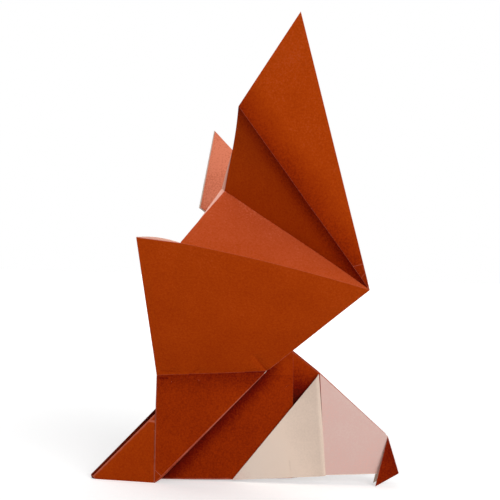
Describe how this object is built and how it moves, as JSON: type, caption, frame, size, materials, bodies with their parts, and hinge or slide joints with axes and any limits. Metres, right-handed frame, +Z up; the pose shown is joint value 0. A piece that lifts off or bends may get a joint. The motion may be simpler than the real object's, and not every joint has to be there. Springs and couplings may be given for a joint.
{
  "type": "origami eagle",
  "caption": "Eagle folded from a square of two-sided paper, standing on wing roots, tail and beak, with raised pleated wings and a white head.",
  "frame": {"origin": "on the floor, under the middle of the whole folded sheet's box", "axes": "+X towards the beak, +Y across the wings, +Z up"},
  "size_m": [0.0696, 0.063, 0.1003],
  "materials": {
    "paper": "matte paper, red-brown outside and white inside"
  },
  "bodies": {
    "root": {"folded_sheet": "paper"}
  },
  "joints": []
}
